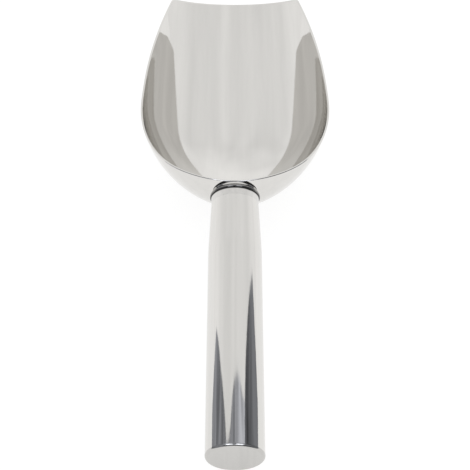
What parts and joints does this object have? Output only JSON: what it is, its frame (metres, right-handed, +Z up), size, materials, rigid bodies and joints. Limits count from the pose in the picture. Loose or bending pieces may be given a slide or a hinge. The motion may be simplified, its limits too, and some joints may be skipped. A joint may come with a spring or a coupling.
{
  "type": "ice scoop",
  "caption": "Welded stainless scoop: a deep round bowl with a domed back and an angled open lip, on a closed, slightly flared tubular handle.",
  "frame": {"origin": "bottom centre of the bounding box, on the surface that the scoop lies on", "axes": "+Z up from that surface, +Y from the handle's end towards the bowl's lip, +X to the right seen from the handle's end. The scoop is stored as it lies: on the bowl's round underside and the lower edge of the handle's end."},
  "size_m": [0.0858, 0.2583, 0.0457],
  "materials": {
    "bowl_steel": "mirror polished stainless steel",
    "handle_steel": "mirror polished stainless steel, with faint lengthwise polishing streaks",
    "weld": "stainless weld, ground and polished bright"
  },
  "bodies": {
    "root": {"bowl": "bowl_steel", "handle_tube": "handle_steel", "end_cap": "handle_steel", "neck_weld_bead": "weld"}
  },
  "joints": []
}
